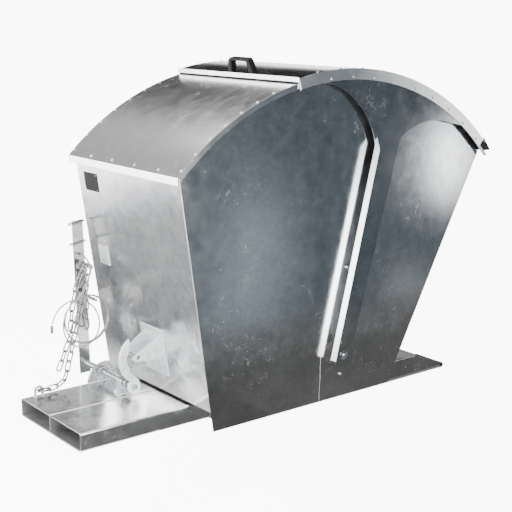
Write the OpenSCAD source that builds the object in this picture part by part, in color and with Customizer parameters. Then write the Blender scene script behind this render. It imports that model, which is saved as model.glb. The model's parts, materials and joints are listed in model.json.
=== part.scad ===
// Fork-mounted tipping container with a fixed round roof, a swinging segment lid and a tip latch.
// Frame: +X towards the discharge side, -Y towards the near side, +Z up, origin on the floor below
// the middle of the overall box. Millimetres.

/* [Body] */
// Outside width of the container body
body_w = 700; // [660:10:700]
// Thickness of the body sheets
sheet = 3; // [2:0.5:4]
// Height of the body side plates above the floor
skirt_gap = 3; // [1:1:10]
// Height of the underside of the container floor
floor_z = 78.5; // [78.5:0.5:90]

/* [Roof and lid] */
// Height of the lid pivot above the floor
pivot_z = 183; // [175:1:190]
// Outer radius of the fixed roof about the lid pivot
roof_r = 1086; // [1080:1:1086]
// Outer radius of the lid skin about the lid pivot
lid_r = 1105; // [1105:1:1110]
// Height of the bow handle above the lid
handle_h = 58; // [40:1:70]

/* [Fork pockets] */
// Outside width of one fork pocket
pocket_w = 222; // [200:1:222]
// Outside height of a fork pocket
pocket_h = 70; // [60:1:70]
// Wall thickness of a fork pocket
pocket_t = 5; // [4:0.5:8]

/* [Chain and rope] */
// Wire diameter of the chain links
link_d = 6; // [5:0.5:6]
// Inner length of a chain link
link_in = 39; // [36:1:42]
// Diameter of the wire rope
rope_d = 6; // [5:0.5:8]

/* [Hidden] */

round_fn = 96;
arc_fn = 720;
overall_l = 1896;
half_w = body_w / 2;

// Lid lip, polar about the pivot: it sets where the pivot lies in the overall length
lip_tip_r = 1104;
lip_tip_a = 47.4;
pivot_x = overall_l / 2 - lip_tip_r * sin(lip_tip_a);

// Sloping walls, x measured from the pivot
left_foot_x = -611;
left_slope = 0.1527;
right_foot_x = 272;
right_slope = 0.5371;
function left_x(z) = left_foot_x - left_slope * z;
function right_x(z) = right_foot_x + right_slope * z;

// Base frame
rail_y = 337;
rail_t = 6;
rail_top = 78;
rail_x0 = -560;
pocket_x0 = -overall_l / 2 - pivot_x;
pocket_x1 = 440;
hinge_x = 379;
hinge_z = 50;
hinge_r = 12;
nose_x = 611;
nose_z = 11;
nose_r = 9;
arm_y = 322;
arm_t = 10;
arm_eye_r = 25;
fit = 0.06;
snug = 0.02;

// Roof and lid, angles from straight up, positive towards the discharge side
roof_a0 = -45.4;
roof_a1 = -4;
roof_y = 370;
roof_flange = 19;
roof_front_drop = 27;
lid_a0 = -13.3;
lid_a1 = 48.5;
skin_a1 = 45;
band_a1 = 44;
lid_y = 372;
lid_skin_y = 378;
lid_band_r = 1064;
lid_flange_y = 402;
flange_top = 842;
flange_slant = 58;
leg_back = [[-60, 0], [142, 816]];
leg_front = [[40, 0], [260, 783]];
leg_eye_r = 50;
angle_t = 3;
lip_r = 1079;
lip_a0 = 44;

// Lid pivot
bush_r = 26;
pivot_bolt_r = 10;

// Latch
shaft_x = -742;
shaft_z = 112;
shaft_r = 12;
hook_y = -25;
hook_t = 10;
lever_y = 338;
lever_t = 8;
lever_w = 45;
lever_lean = 1.8;
pin_x = -751;
pin_z = 239;
pin_r = 8;
gusset_gap = 41;
gusset_t = 6;
peg_r = 6;
chain_peg = [-756, 522];
rope_peg = [-762, 401];

// Chain
link_w = 13;
link_pitch = link_in - 1.4;
tail_route = [
    [-975, 207, 88], [-938, 210, 90], [-904, 218, 104], [-883, 230, 133], [-870, 239, 168],
    [-857, 239, 210], [-843, 239, 260], [-827, 239, 315], [-809, 239, 370], [-791, 239, 425],
    [-772, 239, 485]
];
// Strands that hang from the chain peg: the y of each, and its links' headings from straight down
hank_strands = [
    [265, [-8, -12, -16, -20, -22, -24, -24, -24, -24, -24, -24]],
    [291, [-34, -28, -20, -14, -10, -8, -8]],
    [317, [8, 6, 4, 2, 0, 0, 0]]
];

// Wire rope
coil_c = [-800, 216, 330];
coil_r = 97;
coil_tube_r = 9;
loop_c = [-857, 205, 318];
loop_r = 98;
loop_tube_r = 4;
rope_hole_z = 560;
rope_route = [
    [-756, 346, 560], [-756, 334, 560], [-756, 320, 559], [-757, 304, 557], [-758, 288, 554],
    [-760, 272, 549], [-763, 256, 542], [-767, 241, 533], [-772, 229, 521], [-778, 221, 508],
    [-784, 217, 493], [-790, 216, 478], [-795, 216, 462], [-798, 216, 449], [-800, 216, 437]
];

function polar(r, a) = [r * sin(a), r * cos(a)];
function unit(v) = v / norm(v);

// A sheet lying in a plane of constant Y: near side for side -1, far side for side 1.
// The outline is drawn in x from the pivot and z from height z0.
module sheet_xz(side, y_in, t, z0 = 0) {
    translate([pivot_x, side * y_in + (side > 0 ? t : 0), z0])
        rotate([90, 0, 0])
            linear_extrude(height = t)
                children();
}

// The same sheet given by its own y range
module plate_xz(y0, t, z0 = 0) {
    translate([pivot_x, y0 + t, z0])
        rotate([90, 0, 0])
            linear_extrude(height = t)
                children();
}

// A round bar along Y through (x, z), from y0 to y1
module bar_y(x, z, r, y0, y1) {
    translate([pivot_x + x, y1, z])
        rotate([90, 0, 0])
            cylinder(r = r, h = y1 - y0, $fn = round_fn);
}

module block(x0, x1, y0, y1, z0, z1) {
    translate([pivot_x + x0, y0, z0])
        cube([x1 - x0, y1 - y0, z1 - z0]);
}

// A wedge of the plane between two angles from straight up
module wedge(r, a0, a1) {
    am = (a0 + a1) / 2;
    polygon([[0, 0], polar(r, a0), polar(r, (a0 + am) / 2), polar(r, am), polar(r, (am + a1) / 2),
             polar(r, a1)]);
}

module ring_sector(r_out, r_in, a0, a1) {
    intersection() {
        difference() {
            circle(r = r_out, $fn = arc_fn);
            circle(r = r_in, $fn = arc_fn);
        }
        wedge(r_out * 1.4, a0, a1);
    }
}

// ---------------------------------------------------------------- base frame

module rounded_rect(x0, x1, z0, z1, r) {
    translate([x0 + r, z0])
        square([x1 - x0 - 2 * r, z1 - z0]);
    translate([x0, z0 + r])
        square([x1 - x0, z1 - z0 - 2 * r]);
    for (x = [x0 + r, x1 - r])
        for (z = [z0 + r, z1 - r])
            translate([x, z])
                circle(r = r, $fn = 48);
}

module fork_pocket(side) {
    y0 = side > 0 ? 0 : -pocket_w;
    corner_r = 8;
    translate([pivot_x + pocket_x0, 0, 0])
        rotate([90, 0, 90])
            linear_extrude(height = pocket_x1 - pocket_x0)
                difference() {
                    rounded_rect(y0, y0 + pocket_w, 0, pocket_h, corner_r);
                    rounded_rect(y0 + pocket_t, y0 + pocket_w - pocket_t, pocket_t,
                                 pocket_h - pocket_t, corner_r - pocket_t);
                }
}

module fork_pocket_near() {
    color("lightgray") fork_pocket(-1);
}

module fork_pocket_far() {
    color("lightgray") fork_pocket(1);
}

// Base side rail with a raised stop and a sloping nose that the discharge wall comes to rest on
module base_rail(side) {
    sheet_xz(side, rail_y, rail_t)
        difference() {
            polygon([[rail_x0, 0], [614, 0], [622, 3], [625, 11], [621, 20], [601, 28], [462, 88.5],
                     [454, 91], [450, 90], [437, rail_top], [rail_x0, rail_top]]);
            translate([hinge_x, hinge_z])
                circle(r = hinge_r + snug, $fn = round_fn);
            translate([nose_x, nose_z])
                circle(r = nose_r, $fn = round_fn);
        }
}

module base_rail_near() {
    color("darkgray") base_rail(-1);
}

module base_rail_far() {
    color("darkgray") base_rail(1);
}

// Flat stays that tie the rails to the pockets
module base_outriggers() {
    stay_t = 8;
    stay_h = 62;
    color("gray")
        for (x = [-540, -230, 90, 425])
            for (side = [-1, 1])
                block(x, x + stay_t, side > 0 ? pocket_w : -rail_y, side > 0 ? rail_y : -pocket_w,
                      2, 2 + stay_h);
}

// Cover plate in front of the container, cut back at the hinge arms
module base_deck() {
    deck_x0 = 345;
    deck_x1 = 458;
    arm_x1 = 412;
    arm_clear_y = 312;
    deck_t = 6;
    color("lightgray") {
        block(deck_x0, arm_x1, -arm_clear_y, arm_clear_y, pocket_h, pocket_h + deck_t);
        block(arm_x1, deck_x1, -rail_y, rail_y, pocket_h, pocket_h + deck_t);
    }
}

module nose_tube() {
    end_y = rail_y + rail_t;
    color("gray")
        difference() {
            bar_y(nose_x, nose_z, nose_r, -end_y, end_y);
            bar_y(nose_x, nose_z, nose_r - 2.5, -end_y - 1, end_y + 1);
        }
}

module tip_hinge_pins() {
    color("silver")
        for (side = [-1, 1])
            bar_y(hinge_x, hinge_z, hinge_r, side > 0 ? 316 : -rail_y - rail_t,
                  side > 0 ? rail_y + rail_t : -316);
}

// Half-round plate on the far pocket that carries the latch shaft
module shaft_plate_far() {
    plate_r = 80;
    plate_x = -722;
    plate_t = 8;
    color("silver")
        plate_xz(pocket_w - plate_t, plate_t)
            difference() {
                intersection() {
                    translate([plate_x, 66])
                        circle(r = plate_r, $fn = round_fn);
                    translate([plate_x - plate_r, pocket_h])
                        square([2 * plate_r, plate_r]);
                }
                translate([shaft_x, shaft_z])
                    circle(r = shaft_r + fit, $fn = round_fn);
            }
}

module shaft_bearing_near() {
    cheek_r = 24;
    cheek_y = 30;
    cheek_t = 30;
    color("silver")
        plate_xz(cheek_y, cheek_t)
            difference() {
                union() {
                    translate([shaft_x, shaft_z])
                        circle(r = cheek_r, $fn = round_fn);
                    translate([shaft_x - cheek_r, pocket_h])
                        square([2 * cheek_r, shaft_z - pocket_h]);
                }
                translate([shaft_x, shaft_z])
                    circle(r = shaft_r + fit, $fn = round_fn);
            }
}

// Bow welded on the far pocket for the safety chain
module chain_lug() {
    bow_x = -1017;
    bow_y = 207;
    bow_z = 90;
    bow_r = 15;
    wire_r = 4.5;
    color("silver")
        translate([pivot_x + bow_x, bow_y, bow_z]) {
            rotate([90, 0, 0])
                rotate_extrude(angle = 180, $fn = round_fn)
                    translate([bow_r, 0])
                        circle(r = wire_r, $fn = round_fn);
            for (dx = [-bow_r, bow_r])
                translate([dx, 0, pocket_h - bow_z])
                    cylinder(r = wire_r, h = bow_z - pocket_h, $fn = round_fn);
        }
}

// One chain link along +X in the XY plane, centred on the origin
module link(wire, inner_l, half_w_mid) {
    run = inner_l - 2 * (half_w_mid - wire / 2);
    for (end = [-1, 1])
        translate([end * run / 2, 0, 0])
            rotate([0, 0, end > 0 ? -90 : 90])
                rotate_extrude(angle = 180, $fn = 32)
                    translate([half_w_mid, 0])
                        circle(r = wire / 2, $fn = 24);
    for (side = [-1, 1])
        translate([-run / 2, side * half_w_mid, 0])
            rotate([0, 90, 0])
                cylinder(r = wire / 2, h = run, $fn = 24);
}

module shackle() {
    color("silver")
        translate([pivot_x - 995, 207, 88])
            link(8, 40, 13);
}

// Arc length of a route up to point i
function run_to(route, i) = i == 0 ? 0 : run_to(route, i - 1) + norm(route[i] - route[i - 1]);
// Index of the stretch that holds the distance s
function stretch(route, s, i = 1) =
    i == len(route) - 1 || run_to(route, i) >= s ? i : stretch(route, s, i + 1);
function place(route, s) =
    let (i = stretch(route, s))
    route[i - 1] + unit(route[i] - route[i - 1]) * (s - run_to(route, i - 1));

// A link centred at c along the unit vector d, turned a quarter when k is odd
module laid_link(c, d, k) {
    translate(c)
        rotate([0, -asin(d[2]), atan2(d[1], d[0])])
            rotate([k % 2 == 0 ? 90 : 0, 0, 0])
                link(link_d, link_in, link_w / 2 + link_d / 2);
}

// Links laid end to end along a route
module chain_run(route) {
    count = floor(run_to(route, len(route) - 1) / link_pitch);
    translate([pivot_x, 0, 0])
        for (k = [0:count - 1]) {
            a = place(route, k * link_pitch);
            b = place(route, (k + 1) * link_pitch);
            laid_link((a + b) / 2, unit(b - a), k);
        }
}

// A strand hangs from a peg at p with one heading for each link. Each link's end wire lies inside
// the round end of the next one, link_play from the centre of that end.
link_arc = (link_in - link_w) / 2;
link_end = link_arc + link_w / 2 + link_d / 2;
link_play = 3.2;
function heading(h) = [sin(h), 0, -cos(h)];
function step(a, b, k) =
    (k % 2 == 0 ? link_arc : link_end) * a + link_play * unit(a + b)
    + (k % 2 == 0 ? link_end : link_arc) * b;
function centre(p, hs, k) =
    k == 0 ? p + link_arc * heading(hs[0])
           : centre(p, hs, k - 1) + step(heading(hs[k - 1]), heading(hs[k]), k - 1);

module chain_strand(y, headings) {
    p = [chain_peg[0], y, chain_peg[1]];
    translate([pivot_x, 0, 0])
        for (k = [0:len(headings) - 1])
            laid_link(centre(p, headings, k), heading(headings[k]), k);
}

module chain_tail() {
    color("silver") chain_run(tail_route);
}

// ---------------------------------------------------------------- container

// Outline of a side plate: sloping front and back edges under a round top
module side_outline() {
    top_r = roof_r - 4;
    intersection() {
        translate([0, pivot_z])
            circle(r = top_r, $fn = arc_fn);
        polygon([[left_x(skirt_gap), skirt_gap], [right_x(skirt_gap), skirt_gap],
                 [right_x(1400), 1400], [left_x(1400), 1400]]);
    }
}

module side_plate(side) {
    sheet_xz(side, half_w - sheet, sheet)
        difference() {
            side_outline();
            translate([0, pivot_z])
                circle(r = pivot_bolt_r + snug, $fn = round_fn);
        }
}

module side_plate_near() {
    color("slategray") side_plate(-1);
}

module side_plate_far() {
    color("slategray") side_plate(1);
}

module left_wall() {
    top_z = 950;
    z0 = floor_z;
    color("gainsboro")
        plate_xz(sheet - half_w, body_w - 2 * sheet)
            polygon([[left_x(z0), z0], [left_x(z0) + sheet, z0], [left_x(top_z) + sheet, top_z],
                     [left_x(top_z), top_z]]);
}

module floor_plate() {
    color("gray")
        plate_xz(sheet - half_w, body_w - 2 * sheet)
            polygon([[left_x(floor_z) + sheet, floor_z], [right_x(floor_z) - sheet - 1, floor_z],
                     [right_x(floor_z + sheet) - sheet - 1, floor_z + sheet],
                     [left_x(floor_z + sheet) + sheet, floor_z + sheet]]);
}

module discharge_wall() {
    top_z = 928;
    z0 = floor_z;
    across = sheet + 1;
    color("gainsboro")
        plate_xz(sheet - half_w, body_w - 2 * sheet)
            polygon([[right_x(z0) - across, z0], [right_x(z0), z0], [right_x(top_z), top_z],
                     [right_x(top_z) - across, top_z]]);
}

// Flat bar along the inside of the discharge edge
module discharge_rim() {
    z0 = 890;
    z1 = 926;
    inset = sheet + 1;
    bar = 6;
    color("silver")
        plate_xz(sheet - half_w, body_w - 2 * sheet)
            polygon([[right_x(z0) - inset - bar, z0], [right_x(z0) - inset, z0],
                     [right_x(z1) - inset, z1], [right_x(z1) - inset - bar, z1]]);
}

// Two arms under the floor that reach forward to the tipping hinge
module tip_hinge_arms() {
    color("gray")
        for (side = [-1, 1])
            sheet_xz(side, arm_y, arm_t)
                difference() {
                    union() {
                        polygon([[190, floor_z], [right_x(floor_z), floor_z],
                                 [hinge_x + 8, hinge_z + 23], [hinge_x, hinge_z - arm_eye_r],
                                 [230, 44]]);
                        translate([hinge_x, hinge_z])
                            circle(r = arm_eye_r, $fn = round_fn);
                    }
                    translate([hinge_x, hinge_z])
                        circle(r = hinge_r + fit, $fn = round_fn);
                }
}

// Rolled roof sheet with side flanges and a front flange folded down
module fixed_roof() {
    front = polar(roof_r, roof_a0);
    color("gray") {
        plate_xz(-roof_y, 2 * roof_y, pivot_z)
            ring_sector(roof_r, roof_r - sheet, roof_a0, roof_a1);
        for (side = [-1, 1])
            sheet_xz(side, roof_y - sheet, sheet, pivot_z)
                ring_sector(roof_r, roof_r - roof_flange, roof_a0, roof_a1);
        plate_xz(-roof_y, 2 * roof_y, pivot_z)
            polygon([[front[0] - 1, front[1] + 0.5], [front[0] + sheet, front[1] + 0.5],
                     [front[0] + sheet, front[1] - roof_front_drop],
                     [front[0] - 1, front[1] - roof_front_drop]]);
    }
}

// Angle under the free edge of the fixed roof, between the side plates
module roof_edge_stiffener() {
    leg = 34;
    color("silver")
        plate_xz(sheet - half_w, body_w - 2 * sheet, pivot_z) {
            ring_sector(roof_r - sheet, roof_r - 2 * sheet, -6, roof_a1);
            ring_sector(roof_r - sheet, roof_r - sheet - leg, -6, -5.84);
        }
}

// Flat round rivet heads standing on a surface of radius r at angle a and side position y
module roof_head(r, a, y, head_r, head_h) {
    translate([pivot_x, y, pivot_z])
        rotate([0, a, 0])
            translate([0, 0, r])
                cylinder(r1 = head_r, r2 = head_r * 0.6, h = head_h, $fn = round_fn);
}

module roof_rivets() {
    head_r = 6;
    head_h = 3;
    color("whitesmoke") {
        for (side = [-1, 1])
            for (k = [0:6])
                roof_head(roof_r, -43.8 + 4.1 * k, side * (roof_y - 10), head_r, head_h);
        for (k = [0:3])
            roof_head(roof_r, roof_a0 + 0.9, -235 + 151 * k, head_r, head_h);
    }
}

// Doubler on the left wall behind the catch
module catch_plate() {
    z0 = 150;
    z1 = 332;
    t = 4;
    color("silver")
        plate_xz(-100, 150)
            polygon([[left_x(z0) - t, z0], [left_x(z0), z0], [left_x(z1), z1], [left_x(z1) - t, z1]]);
}

module catch_gussets() {
    foot = 4;
    color("silver")
        for (y = [hook_y - gusset_gap - gusset_t, hook_y + gusset_gap])
            plate_xz(y, gusset_t)
                difference() {
                    polygon([[-776, 238], [left_x(313) - foot, 313], [left_x(216) - foot, 216],
                             [-764, 224]]);
                    translate([pin_x, pin_z])
                        circle(r = pin_r + snug, $fn = round_fn);
                }
}

module catch_pin() {
    color("silver")
        bar_y(pin_x, pin_z, pin_r, hook_y - gusset_gap - gusset_t, hook_y + gusset_gap + gusset_t);
}

// Small blank plate on the left wall
module wall_plate() {
    z0 = 526;
    z1 = 604;
    t = 3;
    color("white")
        plate_xz(212, 70)
            polygon([[left_x(z0) - t, z0], [left_x(z0), z0], [left_x(z1), z1], [left_x(z1) - t, z1]]);
}

module data_plate() {
    z0 = 817;
    z1 = 887;
    t = 2;
    color("black")
        plate_xz(208, 96)
            polygon([[left_x(z0) - t, z0], [left_x(z0), z0], [left_x(z1), z1], [left_x(z1) - t, z1]]);
}

module data_plate_rivets() {
    lean = atan(left_slope);
    color("silver")
        for (y = [214, 298])
            for (z = [824, 880])
                translate([pivot_x + left_x(z) - 2, y, z])
                    rotate([0, -90 - lean, 0])
                        cylinder(r = 2.5, h = 1.5, $fn = 24);
}

// Round-headed studs on the side plates beside the lid leg
module lid_guide_studs() {
    stud_x = 28;
    stud_z = 527;
    color("silver")
        for (side = [-1, 1])
            mirror([0, side < 0 ? 1 : 0, 0]) {
                bar_y(stud_x, stud_z, 8, half_w, half_w + 6);
                translate([pivot_x + stud_x, half_w + 6, stud_z])
                    rotate([-90, 0, 0])
                        cylinder(r1 = 8, r2 = 4, h = 4, $fn = round_fn);
            }
}

// Posts inside the side plates that carry the lid pivot
module pivot_posts() {
    post_t = 5;
    color("gray")
        for (side = [-1, 1])
            sheet_xz(side, half_w - sheet - post_t, post_t)
                difference() {
                    translate([-92, floor_z + sheet])
                        square([172, 272 - floor_z - sheet]);
                    translate([0, pivot_z])
                        circle(r = pivot_bolt_r + snug, $fn = round_fn);
                }
}

module pivot_bushes() {
    color("gray")
        for (side = [-1, 1])
            sheet_xz(side, half_w, lid_y - half_w - 0.5, pivot_z)
                difference() {
                    circle(r = bush_r, $fn = round_fn);
                    circle(r = pivot_bolt_r + snug, $fn = round_fn);
                }
}

// Bolt with a domed head outside the lid leg
module pivot_bolts() {
    washer_t = 3;
    head_y = lid_y + sheet + 0.4 + washer_t;
    color("dimgray")
        for (side = [-1, 1])
            mirror([0, side < 0 ? 1 : 0, 0]) {
                bar_y(0, pivot_z, pivot_bolt_r, half_w - 40, head_y);
                translate([pivot_x, head_y, pivot_z])
                    rotate([-90, 0, 0])
                        cylinder(r = 13, h = 4, $fn = round_fn);
                translate([pivot_x, head_y + 4, pivot_z])
                    rotate([-90, 0, 0])
                        cylinder(r1 = 13, r2 = 6, h = 6, $fn = round_fn);
            }
}

module pivot_washers() {
    color("silver")
        for (side = [-1, 1])
            sheet_xz(side, lid_y + sheet + 0.4, 3, pivot_z)
                difference() {
                    circle(r = 19, $fn = round_fn);
                    circle(r = pivot_bolt_r + snug, $fn = round_fn);
                }
}

module pivot_nuts() {
    nut_t = 16;
    color("silver")
        for (side = [-1, 1])
            sheet_xz(side, half_w - sheet - 5 - nut_t, nut_t, pivot_z)
                difference() {
                    circle(r = 17, $fn = 6);
                    circle(r = pivot_bolt_r + snug, $fn = round_fn);
                }
}

// ---------------------------------------------------------------- lid

module lid_skin() {
    color("darkgray") {
        plate_xz(-lid_skin_y, 2 * lid_skin_y, pivot_z)
            ring_sector(lid_r, lid_r - sheet, lid_a0, skin_a1);
        for (side = [-1, 1])
            sheet_xz(side, lid_skin_y - sheet, sheet, pivot_z)
                ring_sector(lid_r - sheet, lid_band_r, lid_a0, band_a1);
    }
}

// A half plane bounded by the line through two points, on the side of smaller x for side -1,
// with the line moved by g away from that side
module beside(line, side, g) {
    far = 1400;
    d = unit(line[1] - line[0]);
    n = [d[1], -d[0]] * side;
    a = line[0] - n * g;
    polygon([a - far * d, a + far * d, a + far * d + far * n, a - far * d + far * n]);
}

// The two open windows of a lid side plate: each is an arch that runs on down to the pivot height
module lid_windows() {
    far = 1300;
    back_arch = [-185, 727];
    back_r = 335;
    front_arch = [455, 578];
    front_r = 311;
    front_fall = 12;
    front_top = front_arch + polar(front_r, front_fall);
    intersection() {
        circle(r = 1058, $fn = arc_fn);
        union() {
            translate(back_arch)
                circle(r = back_r, $fn = arc_fn);
            translate([-far, -far])
                square([far + leg_back[1][0] - 12, far + leg_back[1][1] - 60]);
            translate([-far, -far])
                square([far + back_arch[0], far + back_arch[1] + back_r]);
        }
        beside(leg_back, -1, 0);
    }
    intersection() {
        circle(r = lid_band_r, $fn = arc_fn);
        union() {
            translate(front_arch)
                circle(r = front_r, $fn = arc_fn);
            polygon([[0, -far], [0, front_arch[1]], front_arch, front_top,
                     front_top + far * [cos(front_fall), -sin(front_fall)], [far, -far]]);
        }
        beside(leg_front, 1, 0);
    }
}

module lid_side_outline() {
    end_cut = 725;
    difference() {
        intersection() {
            wedge(lid_r * 1.4, lid_a0, lid_a1);
            difference() {
                circle(r = lid_r - sheet - 0.5, $fn = arc_fn);
                lid_windows();
            }
            translate([-2000, 0])
                square([4000, 2000]);
        }
        ring_sector(lid_r, lip_r - 0.5, lip_a0 - 0.05, lid_a1 + 1);
        translate([leg_front[1][0] + 200, 0])
            square([1000, end_cut]);
    }
    circle(r = leg_eye_r, $fn = round_fn);
}

// Outward flange along the back edge of the leg, cut to a slant at its top
module lid_flange_outline() {
    intersection() {
        difference() {
            beside(leg_back, 1, sheet);
            beside(leg_back, 1, 0);
        }
        translate([-200, -10])
            square([500, flange_top + 40]);
    }
}

module lid_side(side) {
    difference() {
        union() {
            sheet_xz(side, lid_y, sheet, pivot_z)
                lid_side_outline();
            difference() {
                sheet_xz(side, lid_y, lid_flange_y - lid_y, pivot_z)
                    lid_flange_outline();
                translate([pivot_x, side * (lid_y + sheet), pivot_z + flange_top])
                    rotate([-side * flange_slant, 0, 0])
                        translate([-500, -100, 0])
                            cube([1000, 200, 300]);
            }
        }
        bar_y(0, pivot_z, pivot_bolt_r + fit, -half_w - 100, half_w + 100);
    }
}

module lid_side_near() {
    color("slategray") lid_side(-1);
}

module lid_side_far() {
    color("slategray") lid_side(1);
}

// Angle across the rear edge of the lid with a low upstand
module lid_front_angle() {
    foot_l = 32;
    foot_y = lid_y - 1;
    upstand = 4;
    drop = 14;
    turn = atan(angle_t / lid_r);
    color("white") {
        plate_xz(-lid_skin_y, 2 * lid_skin_y, pivot_z)
            ring_sector(lid_r + upstand, lid_r - drop, lid_a0 - turn, lid_a0);
        plate_xz(-foot_y, 2 * foot_y, pivot_z)
            ring_sector(lid_r - sheet, lid_r - sheet - angle_t, lid_a0 - turn / 2,
                        lid_a0 + atan(foot_l / lid_r));
    }
}

// Rubber lip along the free edge of the lid, notched where it passes over the side plates
module lid_lip_seal() {
    clear_r = roof_r - 2;
    notch_y = half_w - 6;
    notch_t = 8;
    color("black")
        difference() {
            plate_xz(-lid_skin_y - 2, 2 * (lid_skin_y + 2), pivot_z)
                difference() {
                    polygon([polar(1111, lip_a0), polar(lip_tip_r, lip_tip_a), polar(lip_r, 46.2),
                             polar(lip_r, lip_a0)]);
                    ring_sector(lid_r, lid_r - sheet, lip_a0 - 1, skin_a1);
                }
            for (side = [-1, 1])
                sheet_xz(side, notch_y, notch_t, pivot_z)
                    circle(r = clear_r, $fn = arc_fn);
        }
}

module lid_top_rivets() {
    color("whitesmoke")
        for (side = [-1, 1])
            for (k = [0:8])
                roof_head(lid_r, -8.1 + 5.8 * k, side * (lid_skin_y - 14), 6, 3);
}

module lid_side_rivets() {
    color("whitesmoke")
        for (side = [-1, 1])
            for (k = [0:8]) {
                p = polar(1074, -5.3 + 5.9 * k);
                translate([pivot_x + p[0], side * lid_skin_y, pivot_z + p[1]])
                    rotate([side > 0 ? -90 : 90, 0, 0])
                        cylinder(r1 = 6, r2 = 3.6, h = 3, $fn = round_fn);
            }
}

// Moulded bow handle across the lid
module lid_handle() {
    half = 80;
    inner = 52;
    bar = 12;
    depth = 26;
    a = asin(-235 / lid_r);
    color("black")
        translate([pivot_x, 0, pivot_z])
            rotate([0, a, 0])
                translate([depth / 2, -25, lid_r])
                    rotate([90, 0, -90])
                        linear_extrude(height = depth)
                            difference() {
                                polygon([[-half, 0], [half, 0], [half - 16, handle_h - 8],
                                         [half - 26, handle_h], [26 - half, handle_h],
                                         [16 - half, handle_h - 8]]);
                                polygon([[-inner, -1], [inner, -1], [inner - 8, handle_h - bar],
                                         [8 - inner, handle_h - bar]]);
                            }
}

module lid_handle_screws() {
    a = asin(-235 / lid_r);
    screw_h = 6;
    color("silver")
        translate([pivot_x, 0, pivot_z])
            rotate([0, a, 0])
                for (dy = [-66, 66])
                    translate([0, dy - 25, lid_r - sheet - angle_t - screw_h])
                        cylinder(r = 6, h = screw_h, $fn = 6);
}

// ---------------------------------------------------------------- latch

module latch_shaft() {
    color("silver")
        bar_y(shaft_x, shaft_z, shaft_r, hook_y - hook_t / 2 - 3, lever_y);
}

module shaft_collars() {
    color("silver")
        for (y = [12, 196])
            plate_xz(y, 17, shaft_z)
                translate([shaft_x, 0])
                    difference() {
                        circle(r = 19, $fn = round_fn);
                        circle(r = shaft_r, $fn = round_fn);
                    }
}

// Hook plate: a lobe on the shaft and a curved arm with a beak over the catch pin
module latch_hook() {
    color("whitesmoke")
        plate_xz(hook_y - hook_t / 2, hook_t, shaft_z)
            translate([shaft_x, 0])
                difference() {
                    union() {
                        circle(r = 27, $fn = round_fn);
                        difference() {
                            intersection() {
                                translate([38, 108])
                                    circle(r = 102, $fn = round_fn);
                                polygon([[-80, 0], [20, 0], [20, 26], [-18, 60], [-18, 186],
                                         [-27, 204], [-38, 208], [-80, 208]]);
                            }
                            translate([24, 112])
                                circle(r = 55, $fn = round_fn);
                            translate([-18, 60])
                                square([60, 86]);
                        }
                    }
                    circle(r = shaft_r, $fn = round_fn);
                }
}

module release_lever() {
    foot = 42;
    top = 580;
    color("silver")
        plate_xz(lever_y, lever_t, shaft_z)
            translate([shaft_x, 0])
                rotate(lever_lean)
                    difference() {
                        translate([-lever_w / 2, -foot])
                            square([lever_w, foot + top]);
                        translate([0, rope_hole_z - shaft_z])
                            circle(r = 6, $fn = round_fn);
                    }
}

module lever_pegs() {
    cap_t = 3;
    color("silver") {
        bar_y(chain_peg[0], chain_peg[1], peg_r, 252, lever_y);
        bar_y(chain_peg[0], chain_peg[1], peg_r + 4, 252 - cap_t, 252);
        bar_y(rope_peg[0], rope_peg[1], peg_r, 206, lever_y);
    }
}

// Two hoops of wire round the upper end of the lever
module tie_wires() {
    wire_r = 2.5;
    run = 18;
    ring_y = 14;
    color("silver")
        for (hoop = [[-760, 604, 12], [-765, 684, 12]])
            translate([pivot_x + hoop[0], lever_y + lever_t / 2, hoop[1]])
                rotate([0, -hoop[2], 0]) {
                    for (side = [-1, 1])
                        translate([-run, side * ring_y, 0])
                            rotate([0, 90, 0])
                                cylinder(r = wire_r, h = 2 * run, $fn = 24);
                    for (end = [-1, 1])
                        translate([end * run, 0, 0])
                            rotate([0, 0, end > 0 ? -90 : 90])
                                rotate_extrude(angle = 180, $fn = 48)
                                    translate([ring_y, 0])
                                        circle(r = wire_r, $fn = 24);
                }
}

module chain_hank() {
    color("silver")
        for (strand = hank_strands)
            chain_strand(strand[0], strand[1]);
}

function ring_at(route, i, r, sides) =
    let (
        a = route[max(i - 1, 0)],
        b = route[min(i + 1, len(route) - 1)],
        d = unit(b - a),
        u = unit(cross(d, [0, 1, 0.2])),
        v = cross(d, u)
    )
    [for (k = [0:sides - 1]) route[i] + r * (cos(360 * k / sides) * u + sin(360 * k / sides) * v)];

module swept_tube(route, r, sides) {
    count = len(route);
    points = [for (i = [0:count - 1]) for (p = ring_at(route, i, r, sides)) p];
    walls = [
        for (i = [0:count - 2])
            for (k = [0:sides - 1])
                for (half = [0, 1])
                    let (a = i * sides + k, b = i * sides + (k + 1) % sides)
                    half == 0 ? [a, b, b + sides] : [a, b + sides, a + sides]
    ];
    first = [for (k = [0:sides - 1]) sides - 1 - k];
    last = [for (k = [0:sides - 1]) (count - 1) * sides + k];
    polyhedron(points = points, faces = concat(walls, [first, last]), convexity = 6);
}

module rope_tail() {
    color("silver")
        translate([pivot_x, 0, 0])
            swept_tube(rope_route, rope_d / 2, 8);
}

module rope_ring(c, r, tube_r) {
    translate([pivot_x + c[0], c[1], c[2]])
        rotate([90, 0, 0])
            rotate_extrude($fn = round_fn)
                translate([r, 0])
                    circle(r = tube_r, $fn = 24);
}

module rope_coil() {
    color("silver") rope_ring(coil_c, coil_r, coil_tube_r);
}

module rope_loop() {
    color("silver") rope_ring(loop_c, loop_r, loop_tube_r);
}

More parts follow.
